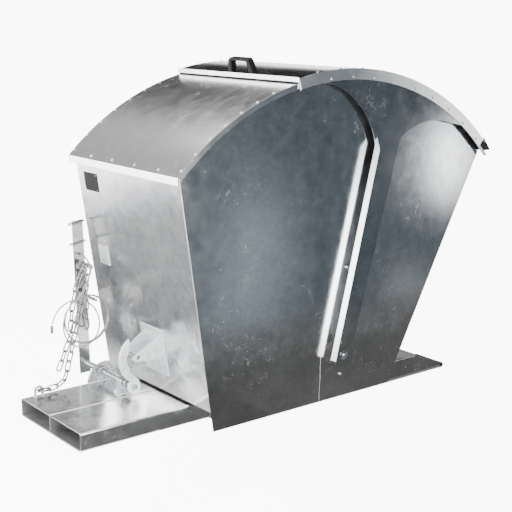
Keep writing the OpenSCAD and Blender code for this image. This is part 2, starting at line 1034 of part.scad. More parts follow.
// Pressed sleeves: a stop behind the lever and one at the free end
module rope_ferrules() {
    sleeve_r = 6;
    sleeve_l = 28;
    color("silver") {
        bar_y(rope_route[0][0], rope_route[0][2], 9, lever_y + lever_t, lever_y + lever_t + 14);
        translate([pivot_x + loop_c[0] - loop_r, loop_c[1], loop_c[2] - sleeve_l / 2])
            cylinder(r = sleeve_r, h = sleeve_l, $fn = 24);
    }
}

fork_pocket_near();
fork_pocket_far();
base_rail_near();
base_rail_far();
base_outriggers();
base_deck();
nose_tube();
tip_hinge_pins();
shaft_plate_far();
shaft_bearing_near();
chain_lug();
shackle();
chain_tail();
side_plate_near();
side_plate_far();
left_wall();
floor_plate();
discharge_wall();
discharge_rim();
tip_hinge_arms();
fixed_roof();
roof_edge_stiffener();
roof_rivets();
catch_plate();
catch_gussets();
catch_pin();
wall_plate();
data_plate();
data_plate_rivets();
lid_guide_studs();
pivot_posts();
pivot_bushes();
pivot_bolts();
pivot_washers();
pivot_nuts();
lid_skin();
lid_side_near();
lid_side_far();
lid_front_angle();
lid_lip_seal();
lid_top_rivets();
lid_side_rivets();
lid_handle();
lid_handle_screws();
latch_shaft();
shaft_collars();
latch_hook();
release_lever();
lever_pegs();
tie_wires();
chain_hank();
rope_tail();
rope_coil();
rope_loop();
rope_ferrules();
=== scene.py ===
"""Galvanised tipping container: camera, wire rope, zinc finishes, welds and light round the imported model."""

import bmesh
import bpy
import json
import math
from collections import namedtuple
from mathutils import Matrix, Vector


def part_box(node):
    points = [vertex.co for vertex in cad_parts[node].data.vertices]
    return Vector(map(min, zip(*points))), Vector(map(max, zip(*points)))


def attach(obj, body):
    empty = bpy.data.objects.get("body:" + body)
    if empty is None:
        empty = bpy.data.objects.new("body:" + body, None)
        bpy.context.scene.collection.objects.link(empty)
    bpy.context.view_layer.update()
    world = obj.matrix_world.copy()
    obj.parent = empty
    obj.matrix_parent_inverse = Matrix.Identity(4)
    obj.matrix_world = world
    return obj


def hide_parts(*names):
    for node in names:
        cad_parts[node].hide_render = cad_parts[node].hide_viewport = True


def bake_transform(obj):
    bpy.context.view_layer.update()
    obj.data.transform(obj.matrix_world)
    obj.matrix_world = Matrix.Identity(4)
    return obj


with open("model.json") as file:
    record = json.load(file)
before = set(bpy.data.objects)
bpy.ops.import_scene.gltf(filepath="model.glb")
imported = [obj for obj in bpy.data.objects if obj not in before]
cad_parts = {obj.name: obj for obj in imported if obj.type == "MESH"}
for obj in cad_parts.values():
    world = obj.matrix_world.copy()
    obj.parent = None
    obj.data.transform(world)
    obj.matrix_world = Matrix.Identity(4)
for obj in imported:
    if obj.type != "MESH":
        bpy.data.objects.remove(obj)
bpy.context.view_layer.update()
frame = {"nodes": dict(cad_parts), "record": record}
RECORD = frame["record"]
BODY_OF = {node: body for body, nodes in RECORD["behaviour"]["bodies"].items() for node in nodes}
JOINTS = {joint["name"]: joint for joint in RECORD["behaviour"]["joints"]}
PIVOT = Vector(JOINTS["lid_swing"]["pos_m"])
MM = 0.001


def mm(x, y, z):
    """A point given in millimetres, with x counted from the lid pivot."""
    return Vector((PIVOT.x + x * MM, y * MM, z * MM))


def box_mm(node):
    """A node's lowest and highest corners, in millimetres as for mm()."""
    return [Vector((corner.x - PIVOT.x, corner.y, corner.z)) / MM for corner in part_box(node)]


# ---------------------------------------------------------------- camera

# Turn to the right, tilt down and roll in degrees; place as for mm(); lens and sensor in millimetres
CAMERA_TURNS = (38.66, 12.68, 0.52)
CAMERA_PLACE = (-2775, -3291, 1478)
CAMERA_LENS = 75.5
CAMERA_SENSOR = 36


def make_camera():
    """The camera of the front view."""
    yaw, pitch, roll = (math.radians(turn) for turn in CAMERA_TURNS)
    look = Vector((math.sin(yaw) * math.cos(pitch), math.cos(yaw) * math.cos(pitch), -math.sin(pitch)))
    level = Vector((math.cos(yaw), -math.sin(yaw), 0))
    right = level * math.cos(roll) + level.cross(look) * math.sin(roll)
    up = right.cross(look)
    camera = bpy.data.objects.new("camera", bpy.data.cameras.new("camera"))
    camera.matrix_world = Matrix((right, up, -look)).transposed().to_4x4()
    camera.location = mm(*CAMERA_PLACE)
    camera.data.lens = CAMERA_LENS
    camera.data.sensor_width = CAMERA_SENSOR
    bpy.context.collection.objects.link(camera)
    bpy.context.scene.camera = camera


make_camera()


# ---------------------------------------------------------------- shader nodes

class Shader:
    """The node tree of a new material or world, with short calls for the nodes used here."""

    def __init__(self, owner, surface="Principled BSDF", coords="Object"):
        owner.use_nodes = True
        self.owner = owner
        self.tree = owner.node_tree
        self.surface = self.tree.nodes[surface]
        self.coords = self.node("ShaderNodeTexCoord").outputs[coords]

    def node(self, kind, inputs=None, **settings):
        made = self.tree.nodes.new(kind)
        for key, value in settings.items():
            setattr(made, key, value)
        for key, value in (inputs or {}).items():
            self.feed(made.inputs[key], value)
        return made

    def feed(self, socket, value):
        if isinstance(value, bpy.types.NodeSocket):
            self.tree.links.new(value, socket)
        else:
            socket.default_value = value

    def stretched(self, scale, turn=(0, 0, 0)):
        made = self.node("ShaderNodeMapping", {"Vector": self.coords, "Scale": scale, "Rotation": turn})
        return made.outputs["Vector"]

    def noise(self, scale, detail, rough=0.5, distort=0, at=None):
        made = self.node("ShaderNodeTexNoise", {"Vector": at or self.coords, "Scale": scale,
                                                "Detail": detail, "Roughness": rough,
                                                "Distortion": distort})
        return made.outputs["Fac"]

    def cells(self, scale, output="Color"):
        return self.node("ShaderNodeTexVoronoi", {"Vector": self.coords, "Scale": scale}).outputs[output]

    def along(self, axis, at=None):
        return self.node("ShaderNodeSeparateXYZ", {"Vector": at or self.coords}).outputs[axis]

    def ramp(self, value, low, high, a=0.0, b=1.0):
        """a where value is low, b where it is high, and evenly from one to the other between."""
        made = self.node("ShaderNodeMapRange", {"Value": value, "From Min": low, "From Max": high,
                                                "To Min": a, "To Max": b})
        return made.outputs["Result"]

    def stops(self, value, levels):
        """A ramp through (place, level) pairs, scaled to a peak of 1, and the peak."""
        made = self.node("ShaderNodeValToRGB", {"Fac": value})
        elements = made.color_ramp.elements
        while len(elements) < len(levels):
            elements.new(0.5)
        peak = max(level for _, level in levels)
        for element, (place, level) in zip(elements, levels):
            element.position = place
            element.color = grey(level / peak)
        return made.outputs["Color"], peak

    def math(self, how, a, b):
        return self.node("ShaderNodeMath", {0: a, 1: b}, operation=how).outputs["Value"]

    def total(self, first, *terms):
        """first plus each (value, weight) pair."""
        for value, weight in terms:
            first = self.math("ADD", first, self.math("MULTIPLY", value, weight))
        return first

    def mix(self, share, a, b, how="MIX"):
        made = self.node("ShaderNodeMix", data_type="RGBA", blend_type=how)
        self.feed(made.inputs["Factor"], share)
        self.feed(made.inputs["A"], a)
        self.feed(made.inputs["B"], b)
        return made.outputs["Result"]

    def bump(self, height, depth):
        return self.node("ShaderNodeBump", {"Height": height, "Distance": depth}).outputs["Normal"]

    def finish(self, **sockets):
        """The material or world, once its surface shader has these values."""
        for key, value in sockets.items():
            self.feed(self.surface.inputs[key.replace("_", " ")], value)
        return self.owner


def material(name):
    """The start of a material."""
    return Shader(bpy.data.materials.new(name))


def grey(value, blue=0.0):
    """A grey, cooler the higher blue is."""
    return (value * (1 - blue), value * (1 - 0.3 * blue), value * (1 + 0.4 * blue), 1)


# ---------------------------------------------------------------- finishes

# Heights in metres between which the painted shade at the bottom and the dents fade out
SHADE_FULL_BELOW = 0.26
SHADE_GONE_ABOVE = 0.36
DENTED_BELOW = 0.42
SMOOTH_ABOVE = 0.72
# Colour of the painted shade low on the zinc, which stands in for a darker reflection there
PAINTED_LOW_SHADE = (0.2, 0.195, 0.19, 1)
# Colour and metallic share of the painted light, where the zinc is made white and less metallic
PAINTED_LIGHT_GREY = 0.95
PAINTED_LIGHT_METAL = 0.45


def hairlines(s, scale, turn, least):
    """Fine straight scratches: noise drawn out along one direction, kept where it is over least."""
    return s.ramp(s.noise(1.0, 2, at=s.stretched(scale, turn)), least, least + 0.06)


def wear(s):
    """Where zinc is marked: hairlines and scuffs in rubbed areas, and specks. Also the specks alone."""
    rubbed = s.ramp(s.noise(4.3, 3), 0.52, 0.62)
    rising = hairlines(s, (14, 14, 420), (0.55, 0.3, 0), 0.7)
    falling = hairlines(s, (380, 380, 12), (0.1, -0.5, 0), 0.72)
    scuff = s.ramp(s.noise(34, 9, 0.78, 1.2), 0.55, 0.68)
    spots = s.ramp(s.cells(48, "Distance"), 0.06, 0.03)
    specks = s.math("MULTIPLY", spots, s.ramp(s.noise(6, 2), 0.55, 0.62))
    rubs = s.math("MAXIMUM", s.math("MAXIMUM", rising, falling), scuff)
    return s.math("MAXIMUM", s.math("MULTIPLY", rubs, rubbed), specks), specks


def zinc(name, dark, light, rough, blue=0.06, streaks=0.0, wave=0.004, dents=0.0, scratch=0.5, low_shade=0.0,
         metal=1.0, painted_light=None):
    """Hot-dip zinc on sheet: cloudy tone, faint crystals, hairline scratches, specks and a slow wave.

    wave and dents are depths in metres. A share of painted shade darkens the colour towards the bottom.
    Painted light is given as (axis, from, to) in metres: the zinc turns white and less metallic from one place
    to the other."""
    s = material(name)
    cloud = s.noise(2.6, 5, 0.55, 0.6)
    blotch = s.noise(17, 6, 0.6)
    crystal = s.along("X", s.cells(70))
    tone = s.total(0.0, (cloud, 0.75), (blotch, 0.45), (crystal, 0.12))
    if streaks:
        brushed = s.noise(1.0, 4, 0.6, at=s.stretched((9, 60, 5)))
        tone = s.total(tone, (s.math("SUBTRACT", brushed, 0.5), streaks))
    colour = s.mix(s.ramp(tone, 0.38, 0.86), grey(dark, blue), grey(light, blue * 0.6))
    marks, specks = wear(s)
    # Painted shade: the colour darkens towards the bottom
    if low_shade:
        low = s.ramp(s.total(s.along("Z"), (blotch, 0.12)), SHADE_GONE_ABOVE, SHADE_FULL_BELOW)
        colour = s.mix(s.math("MULTIPLY", low, low_shade), colour, PAINTED_LOW_SHADE)
    colour = s.mix(s.math("MULTIPLY", marks, scratch), colour, grey(min(1, light * 1.35)))
    height = s.total(0.0, (s.noise(5, 2), wave / MM), (s.noise(60, 3), 0.025), (specks, 0.3))
    if dents:
        low = s.ramp(s.along("Z"), SMOOTH_ABOVE, DENTED_BELOW)
        height = s.total(height, (s.math("MULTIPLY", s.noise(15, 1, 0.4, 0.8), low), dents / MM))
    # Painted light: white and less metallic from one place to the other
    if painted_light:
        axis, start, end = painted_light
        lit_share = s.ramp(s.total(s.along(axis), (blotch, 0.2 * (end - start))), start, end)
        colour = s.mix(lit_share, colour, grey(PAINTED_LIGHT_GREY))
        metal = s.ramp(lit_share, 0, 1, 1.0, PAINTED_LIGHT_METAL)
    return s.finish(Base_Color=colour, Metallic=metal, Normal=s.bump(height, MM),
                    Roughness=s.total(rough - 0.08, (blotch, 0.16), (marks, 0.2)))


def rough_zinc(name, tone, rough):
    """Thick, slightly lumpy zinc on small forged and cut pieces."""
    s = material(name)
    blotch = s.noise(60, 5, 0.6)
    colour = s.mix(s.ramp(blotch, 0.3, 0.7), grey(tone * 0.72, 0.05), grey(tone, 0.02))
    lumps = s.total(0.0, (s.noise(90, 3), 1.0), (s.noise(400, 2), 0.3))
    return s.finish(Base_Color=colour, Metallic=0.9, Normal=s.bump(lumps, 0.8 * MM),
                    Roughness=s.total(rough - 0.1, (blotch, 0.2)))


def moulded(name, tone, rough):
    """Black moulded plastic or rubber: fine grain, patches of dust."""
    s = material(name)
    dust = s.noise(35, 4, 0.6)
    colour = s.mix(s.ramp(dust, 0.45, 0.8), grey(tone), grey(tone * 2.2 + 0.006))
    return s.finish(Base_Color=colour, Normal=s.bump(s.noise(900, 2), 0.3 * MM),
                    Specular_IOR_Level=0.16, Roughness=s.total(rough - 0.1, (dust, 0.2)))


def wire_rope():
    """Bright wires with patches of grime."""
    s = material("wire_rope")
    wires = s.noise(1400, 2)
    grime = s.noise(30, 3)
    return s.finish(Base_Color=s.mix(s.ramp(grime, 0.35, 0.7), grey(0.24), grey(0.42)), Metallic=0.9,
                    Roughness=s.total(0.32, (grime, 0.2)), Normal=s.bump(wires, 0.3 * MM))


LOOK = {
    # The side plates and the lid's legs carry painted shade towards the bottom
    "side": zinc("zinc_side", 0.4, 0.58, 0.17, wave=0.0008, scratch=0.8, low_shade=0.45),
    "leg": zinc("zinc_leg", 0.3, 0.45, 0.17, blue=0.08, wave=0.0008, scratch=0.8, low_shade=0.3),
    # Painted highlight on the left wall: white and less metallic towards the bottom
    "wall": zinc("zinc_wall", 0.6, 0.86, 0.2, blue=0.02, wave=0.003, dents=0.0016,
                 painted_light=("Z", 0.2, 0.0)),
    "roof": zinc("zinc_roof", 0.58, 0.66, 0.24, blue=0.0, streaks=0.25, wave=0.0003, scratch=0.2),
    "lid": zinc("zinc_lid", 0.54, 0.68, 0.1, blue=0.0, streaks=0.3, wave=0.0004, scratch=0.2),
    "pocket": zinc("zinc_pocket", 0.56, 0.8, 0.2, blue=0.02),
    "plain": zinc("zinc_plain", 0.5, 0.72, 0.32, blue=0.02),
    # Painted highlight: a near-white copy of the zinc for flanges and edges that catch the light
    "flange": zinc("zinc_flange_painted_highlight", 0.9, 0.99, 0.3, blue=0.0, wave=0.0004),
    "forged": rough_zinc("zinc_forged", 0.46, 0.28),
    "pale": rough_zinc("zinc_pale", 0.95, 0.5),
    # Painted highlight on the lid's side band: white and less metallic towards the right
    "band": zinc("zinc_band", 0.5, 0.68, 0.36, blue=0.04, wave=0.0004, scratch=0.2,
                 painted_light=("X", 0.2, 0.72)),
    # Painted shade: a darker copy of the pocket zinc for the faces inside the fork pockets
    "inside": zinc("zinc_inside_painted_shade", 0.36, 0.62, 0.5, blue=0.0),
    # Painted shade and light: a dark copy of the zinc for the lid side plates' faces in the gap, turning white
    # lower down
    "hollow": zinc("zinc_gap_painted_shade_and_light", 0.12, 0.24, 0.6, painted_light=("Z", 0.9, 0.5)),
    "inner": zinc("zinc_inner", 0.45, 0.65, 0.5, blue=0.02, wave=0.002, metal=0.4),
    "lever": zinc("zinc_lever", 0.26, 0.5, 0.22, blue=0.02, wave=0.002),
    "chain": rough_zinc("zinc_chain", 0.27, 0.28),
    "wire": rough_zinc("zinc_wire", 0.22, 0.3),
    "head": rough_zinc("zinc_head", 0.6, 0.4),
    "bolt": rough_zinc("bolt_steel", 0.32, 0.35),
    "plastic": moulded("black_plastic", 0.006, 0.5),
    "rubber": moulded("black_rubber", 0.008, 0.62),
    "rope": wire_rope(),
}

# The look of each node, and the width of its edge rounding in millimetres; 0 leaves the node as it is
FINISH = {
    "fork_pocket_near": ("pocket", 1.0), "fork_pocket_far": ("pocket", 1.0),
    "base_rail_near": ("side", 0.8), "base_rail_far": ("side", 0.8),
    "base_outriggers": ("plain", 0.8), "base_deck": ("plain", 0.8), "nose_tube": ("side", 0.5),
    "tip_hinge_pins": ("side", 0.8), "shaft_plate_far": ("forged", 1.0),
    "shaft_bearing_near": ("forged", 1.5), "chain_lug": ("chain", 0), "shackle": ("chain", 0),
    "side_plate_near": ("side", 0.8), "side_plate_far": ("side", 0.8),
    "left_wall": ("wall", 0.8), "floor_plate": ("plain", 0), "discharge_wall": ("wall", 0.8),
    "discharge_rim": ("plain", 0.8), "tip_hinge_arms": ("plain", 0.8), "fixed_roof": ("roof", 0.8),
    "roof_edge_stiffener": ("plain", 0.5), "roof_rivets": ("pale", 0.9),
    "catch_plate": ("pale", 1.0), "catch_gussets": ("pale", 1.0), "catch_pin": ("forged", 1.0),
    "wall_plate": ("pale", 0.8), "data_plate": ("plastic", 0.4), "data_plate_rivets": ("bolt", 0.4),
    "lid_guide_studs": ("forged", 0.8), "pivot_posts": ("plain", 0.8), "pivot_bushes": ("side", 0.5),
    "pivot_bolts": ("bolt", 1.2), "pivot_washers": ("bolt", 0.6), "pivot_nuts": ("bolt", 1.0),
    "lid_skin": ("lid", 0.8), "lid_side_near": ("leg", 0.8), "lid_side_far": ("leg", 0.8),
    # The lid's front angle takes the near-white flange zinc, a painted highlight
    "lid_front_angle": ("flange", 0.8), "lid_lip_seal": ("rubber", 1.5),
    "lid_top_rivets": ("head", 0.9), "lid_side_rivets": ("head", 0.9), "lid_handle": ("plastic", 4.0),
    "lid_handle_screws": ("bolt", 0.5), "latch_shaft": ("forged", 1.5),
    "shaft_collars": ("forged", 1.5), "latch_hook": ("pale", 1.5), "release_lever": ("lever", 1.0),
    "lever_pegs": ("forged", 1.0), "tie_wires": ("wire", 0), "chain_hank": ("chain", 0),
    "rope_ferrules": ("bolt", 0.8),
}


# ---------------------------------------------------------------- swept pieces

# A ring turns with the last one, unless so little of that one's direction is left across the path
LEAST_ACROSS = 0.1


def spline(points, step):
    """Points every step metres or so along a smooth curve through the given points."""
    ends = [points[0] * 2 - points[1], *points, points[-1] * 2 - points[-2]]
    curve = []
    for p0, p1, p2, p3 in zip(ends, ends[1:], ends[2:], ends[3:]):
        count = max(1, round((p2 - p1).length / step))
        for k in range(count):
            t = k / count
            curve.append(0.5 * (2 * p1 + (p2 - p0) * t + (2 * p0 - 5 * p1 + 4 * p2 - p3) * t ** 2
                                + (3 * p1 - p0 - 3 * p2 + p3) * t ** 3))
    return curve + [points[-1]]


def new_piece(name, mesh):
    """A smoothly shaded object for a mesh."""
    piece = bpy.data.objects.new(name, mesh)
    bpy.context.collection.objects.link(piece)
    for polygon in mesh.polygons:
        polygon.use_smooth = True
    return piece


def sweep(name, path, section, sides, body, look):
    """A closed tube along path; section(i, angle) is its radius at ring i."""
    work = bmesh.new()
    across = Vector((0, 0, 1))
    rings = []
    for i, p in enumerate(path):
        ahead = (path[min(i + 1, len(path) - 1)] - path[max(i - 1, 0)]).normalized()
        across = across - ahead * across.dot(ahead)
        if across.length < LEAST_ACROSS:
            across = ahead.orthogonal()
        across.normalize()
        other = ahead.cross(across)
        ring = []
        for k in range(sides):
            a = 2 * math.pi * k / sides
            ring.append(work.verts.new(p + section(i, a) * (across * math.cos(a) + other * math.sin(a))))
        rings.append(ring)
    for low, high in zip(rings, rings[1:]):
        for k in range(sides):
            n = (k + 1) % sides
            work.faces.new((low[k], low[n], high[n], high[k]))
    work.faces.new(rings[0][::-1])
    work.faces.new(rings[-1])
    bmesh.ops.recalc_face_normals(work, faces=work.faces)
    mesh = bpy.data.meshes.new(name)
    work.to_mesh(mesh)
    work.free()
    mesh.materials.append(LOOK[look])
    piece = new_piece(name, mesh)
    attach(piece, body)
    return piece


# ---------------------------------------------------------------- rope

ROPE_D = 0.006
ROPE_STEP = 0.0028
ROPE_SIDES = 18
STRANDS = 6
# How deep the grooves between strands are, as a share of the radius, and radians of lay from ring to ring
GROOVE = 0.1
LAY = 0.2
# From the hole in the lever down into the first turn, as for mm()
ROPE_TAIL = [
    (-756, 346, 560), (-756, 334, 560), (-756, 320, 559), (-757, 304, 557), (-758, 288, 554),
    (-760, 272, 549), (-763, 256, 542), (-767, 241, 533), (-772, 229, 521), (-778, 222, 508),
    (-784, 220, 493), (-790, 220, 478), (-795, 221, 462), (-801, 222, 448), (-814, 222, 434),
    (-832, 222, 421), (-851, 222, 407),
]
# Millimetres: x and z of the centres, and the coil's radius and y at its start and end
COIL_CENTRE = (-800, 330)
COIL_RADII = (92, 96)
COIL_YS = (222, 209)
COIL_TURNS = 2
LOOP_CENTRE = (-857, 318)
LOOP_RADIUS = 98
LOOP_Y = 205
# Degrees round from the top: where the coil starts and ends, where the rope drifts over to the loop,
# how far it takes to settle at the loop's y, where it ends, and the step from point to point
COIL_START = 52
COIL_END = COIL_START + 360 * COIL_TURNS
DRIFT_START = COIL_END - 40
DRIFT_SPAN = 338
SETTLE_SPAN = 240
ROPE_END = 360 * COIL_TURNS + 90 + 360
TURN_STEP = 14


def progress(value, start, span):
    """How far value is along a span, from 0 to 1."""
    return min(1, max(0, (value - start) / span))


def between(a, b, t):
    """The number t of the way from a to b."""
    return a + (b - a) * t


def turn_points():
    """The two turns of the coil and the loose loop after them, seen from the near side."""
    points = []
    for angle in range(COIL_START + TURN_STEP, ROPE_END + 1, TURN_STEP):
        wound = progress(angle, COIL_START, COIL_END - COIL_START)
        t = progress(angle, DRIFT_START, DRIFT_SPAN)
        out = t * t * (3 - 2 * t)
        radius = between(between(*COIL_RADII, wound), LOOP_RADIUS, out)
        x = between(COIL_CENTRE[0], LOOP_CENTRE[0], out)
        z = between(COIL_CENTRE[1], LOOP_CENTRE[1], out)
        settled = progress(angle, COIL_END, SETTLE_SPAN)
        y = between(*COIL_YS, wound) + (LOOP_Y - COIL_YS[1]) * settled
        turn = math.radians(angle)
        points.append(mm(x - radius * math.sin(turn), y, z + radius * math.cos(turn)))
    return points


def strand_section(i, angle):
    """The rope's radius, which is less between its strands."""
    return ROPE_D / 2 * (1 - GROOVE * (1 - abs(math.cos(STRANDS / 2 * angle - i * LAY))))


def make_rope():
    """The wire rope, from the lever to its last sleeve."""
    path = spline([mm(*p) for p in ROPE_TAIL] + turn_points(), ROPE_STEP)
    rope = sweep("wire_rope_line", path, strand_section, ROPE_SIDES, "latch", "rope")
    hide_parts("rope_tail", "rope_coil", "rope_loop")


# ---------------------------------------------------------------- pieces from the frame

# Degrees: faces at less than the first are one flat, and edges sharper than the second are rounded
FLAT_ANGLE = 0.4
EDGE_ANGLE = 28
# Metres: corners nearer than this are one
SAME_PLACE = 1e-6


def dress(node, look, edge):
    """A piece with the node's own shape and rounded edges, in its finish, in place of the node.
    Where edge is 0 the node itself stays, in its finish."""
    source = frame["nodes"][node]
    if not edge:
        source.data.materials.clear()
        source.data.materials.append(LOOK[look])
        return
    mesh = source.data.copy()
    work = bmesh.new()
    work.from_mesh(mesh)
    bmesh.ops.remove_doubles(work, verts=work.verts, dist=SAME_PLACE)
    bmesh.ops.dissolve_limit(work, angle_limit=math.radians(FLAT_ANGLE), verts=work.verts,
                             edges=work.edges)
    work.to_mesh(mesh)
    work.free()
    mesh.materials.clear()
    mesh.materials.append(LOOK[look])
    piece = new_piece(node + "_finished", mesh)
    bevel = piece.modifiers.new("edges", "BEVEL")
    bevel.width = edge * MM
    bevel.segments = 2
    bevel.limit_method = "ANGLE"
    bevel.angle_limit = math.radians(EDGE_ANGLE)
    flats = piece.modifiers.new("flats", "WEIGHTED_NORMAL")
    flats.mode = "FACE_AREA"
    flats.weight = 100
    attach(piece, BODY_OF[node])
    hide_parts(node)


for name, (look, edge) in FINISH.items():
    dress(name, look, edge)
make_rope()


# ---------------------------------------------------------------- faces with another finish

# Each side, and the way it faces along y
SIDES = {"near": -1, "far": 1}
# A fork pocket's inner faces lie further in than this, in metres
POCKET_SKIN = 4 * MM
# The edge of the lid's leg faces this way, and ends at this height in metres
LEG_EDGE_FACES = Vector((-0.97, 0, 0.24))
LEG_TOP = 1.02


def repaint(node, look, chosen):
    """Another finish on the faces of a piece that chosen(centre, normal) picks."""
    mesh = bpy.data.objects[node + "_finished"].data
    mesh.materials.append(LOOK[look])
    for polygon in mesh.polygons:
        if chosen(polygon.center, polygon.normal):
            polygon.material_index = len(mesh.materials) - 1


def facing(x=0, y=0, z=0, least=0.5):
    """Picks the faces whose normal is near a direction."""
    return lambda centre, normal: normal.dot(Vector((x, y, z))) > least


def in_pocket(node):
    """Picks the faces inside a fork pocket."""
    low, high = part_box(node)

    def chosen(centre, normal):
        within = all(low[k] + POCKET_SKIN < centre[k] < high[k] - POCKET_SKIN for k in (1, 2))
        return within and abs(normal.x) < 0.5
    return chosen


def leg_edge(centre, normal):
    """Picks the edge of the lid's leg, on a lid side plate."""
    return abs(normal.y) < 0.5 and normal.dot(LEG_EDGE_FACES) > 0.5 and centre.z < LEG_TOP


def inner_face(centre, normal):
    """Picks the faces of a round sheet that face the lid pivot."""
    inward = PIVOT - centre
    return normal.x * inward.x + normal.z * inward.z > 0.5


for side, y in SIDES.items():
    # The faces inside the fork pockets take painted shade
    repaint("fork_pocket_" + side, "inside", in_pocket("fork_pocket_" + side))
    # The edge of the lid's leg takes the near-white flange zinc, a painted highlight
    repaint("lid_side_" + side, "flange", leg_edge)
    # The lid side plate's face towards the gap takes painted shade, with painted light lower down
    repaint("lid_side_" + side, "hollow", facing(y=-y))
    repaint("side_plate_" + side, "inner", facing(y=-y))
repaint("lid_skin", "band", lambda centre, normal: abs(normal.y) > 0.7)
# The roof's front drop takes the near-white flange zinc, a painted highlight
repaint("fixed_roof", "flange", facing(x=-1, least=0.9))
repaint("left_wall", "inner", facing(x=1))
repaint("discharge_wall", "inner", facing(x=-1))
for name in ("fixed_roof", "lid_skin"):
    repaint(name, "inner", inner_face)


# ---------------------------------------------------------------- chain


def flexing_chain():
    """The tail of the chain hangs between the shackle on the base and the lever."""
    mesh = frame["nodes"]["chain_tail"].data.copy()
    mesh.materials.clear()
    mesh.materials.append(LOOK["chain"])
    piece = new_piece("chain_tail_flexing", mesh)
    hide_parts("chain_tail")
    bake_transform(piece)


flexing_chain()


# ---------------------------------------------------------------- welds

# Thicknesses in millimetres
SHEET = 3
GUSSET = 6
DOUBLER = 4
# Where seams and marks start, turn and end, as for mm()
GUSSET_ZS = (217, 265, 312)
DOUBLER_ZS = (151, 240, 331)
DOUBLER_YS = (-99, -25, 49)
POCKET_XS = (-1078, -900, -640)
SHAFT_PLATE_XS = (-798, -722, -646)
BEARING_XS = (-766, -742, -718)
ZINC_RUN_XZ = [(-94, 268), (-97, 180), (-99, 90), (-102, 6)]
POST_SPOT_XZ = [(0, 101), (6, 97), (12, 100)]
# The bead round each leg of the lug: its radius in millimetres, and its points' angles in radians
LUG_RING = 5
LUG_ANGLES = (0, 1.3, 2.6, 3.9, 5.2)
# Millimetres from ring to ring of a bead
WELD_STEP = 2.2
WELD_SIDES = 10

WALL_LOW, WALL_HIGH = box_mm("left_wall")
WALL_LEAN = (WALL_HIGH.x - SHEET - WALL_LOW.x) / (WALL_HIGH.z - WALL_LOW.z)
PLATE_FACE = box_mm("side_plate_near")[0].y


def wall_x(z, proud=0.0):
    """x of the left wall's outer face at height z, or of a plane that stands proud of it."""
    return WALL_LOW.x + WALL_LEAN * (WALL_HIGH.z - z) - proud


def weld(name, node, radius, points):
    """A lumpy bead of a radius in millimetres, on a node's body, in pale zinc."""
    def section(i, angle):
        ripple = 0.22 * math.sin(i * 1.9)
        sway = 0.1 * math.sin(i * 0.73 + 2 * angle)
        return radius * MM * (1 + ripple + sway)

    path = spline([mm(*point) for point in points], WELD_STEP * MM)
    sweep(name, path, section, WELD_SIDES, BODY_OF[node], "pale")


def weld_catch():
    """Four seams between the gussets and the doubler, and three between the doubler and the left wall."""
    low, high = box_mm("catch_gussets")
    for side, faces in (("near", (low.y, low.y + GUSSET)), ("far", (high.y - GUSSET, high.y))):
        for y in faces:
            weld("gusset_weld_%s_%d" % (side, round(abs(y))), "catch_gussets", 2.2,
                 [(wall_x(z, DOUBLER), y, z) for z in GUSSET_ZS])
    low, high = box_mm("catch_plate")
    weld("doubler_weld_top", "catch_plate", 2,
         [(wall_x(high.z, DOUBLER / 2), y, high.z) for y in DOUBLER_YS])
    for side, y in (("near", low.y), ("far", high.y)):
        weld("doubler_weld_" + side, "catch_plate", 2,
             [(wall_x(z, DOUBLER / 2), y, z) for z in DOUBLER_ZS])


def weld_base():
    """The seam between the fork pockets, and the feet of the shaft's bearings and of the chain's lug."""
    middle, top = box_mm("fork_pocket_near")[1].yz
    weld("pocket_seam", "fork_pocket_near", 2, [(x, middle, top) for x in POCKET_XS])
    foot = top + 1
    inner = box_mm("shaft_plate_far")[0].y
    weld("shaft_plate_weld", "shaft_plate_far", 3, [(x, inner, foot) for x in SHAFT_PLATE_XS])
    for y in (corner.y for corner in box_mm("shaft_bearing_near")):
        weld("bearing_weld_%d" % round(y), "shaft_bearing_near", 3, [(x, y, foot) for x in BEARING_XS])
    low, high = box_mm("chain_lug")
    rod = (high.y - low.y) / 2
    for x in (low.x + rod, high.x - rod):
        weld("lug_weld_%d" % round(-x), "chain_lug", 2,
             [(x + LUG_RING * math.cos(a), low.y + rod + LUG_RING * math.sin(a), foot)
              for a in LUG_ANGLES])


def mark_plate():
    """A run of zinc and a weld spot on the near side plate."""
    weld("zinc_run", "side_plate_near", 0.8, [(x, PLATE_FACE - 0.4, z) for x, z in ZINC_RUN_XZ])
    weld("post_weld_spot", "side_plate_near", 4, [(x, PLATE_FACE - 0.5, z) for x, z in POST_SPOT_XZ])


weld_catch()
weld_base()
mark_plate()


# ---------------------------------------------------------------- stage

# How far the stage reaches each way, in metres, and radiances
STAGE_REACH = 14
FLOOR_GLOW = 9.0
MIRRORED_FLOOR_GLOW = 2.6
DOME_GLOW = 10.0


def upright(x, y, z):
    """Corners of an upright rectangle across y; x and z are (low, high)."""
    return [(x[0], y, z[0]), (x[1], y, z[0]), (x[1], y, z[1]), (x[0], y, z[1])]


def lying(x, y, z):
    """Corners of a level rectangle; x and y are (low, high)."""
    return [(x[0], y[0], z), (x[1], y[0], z), (x[1], y[1], z), (x[0], y[1], z)]


def plain_plane(name, corners, look):
    """A rectangle on the stage."""
    plane = bpy.data.objects.new(name, bpy.data.meshes.new(name))
    plane.data.from_pydata(corners, [], [(0, 1, 2, 3)])
    plane.data.materials.append(look)
    bpy.context.collection.objects.link(plane)
    return plane


def seen_only_by(piece, camera=False, diffuse=False, glossy=False):
    """Hides a piece of the stage from all other rays, and it casts no shadow."""
    piece.visible_camera = camera
    piece.visible_diffuse = diffuse
    piece.visible_glossy = glossy
    piece.visible_shadow = False
    piece.visible_transmission = False


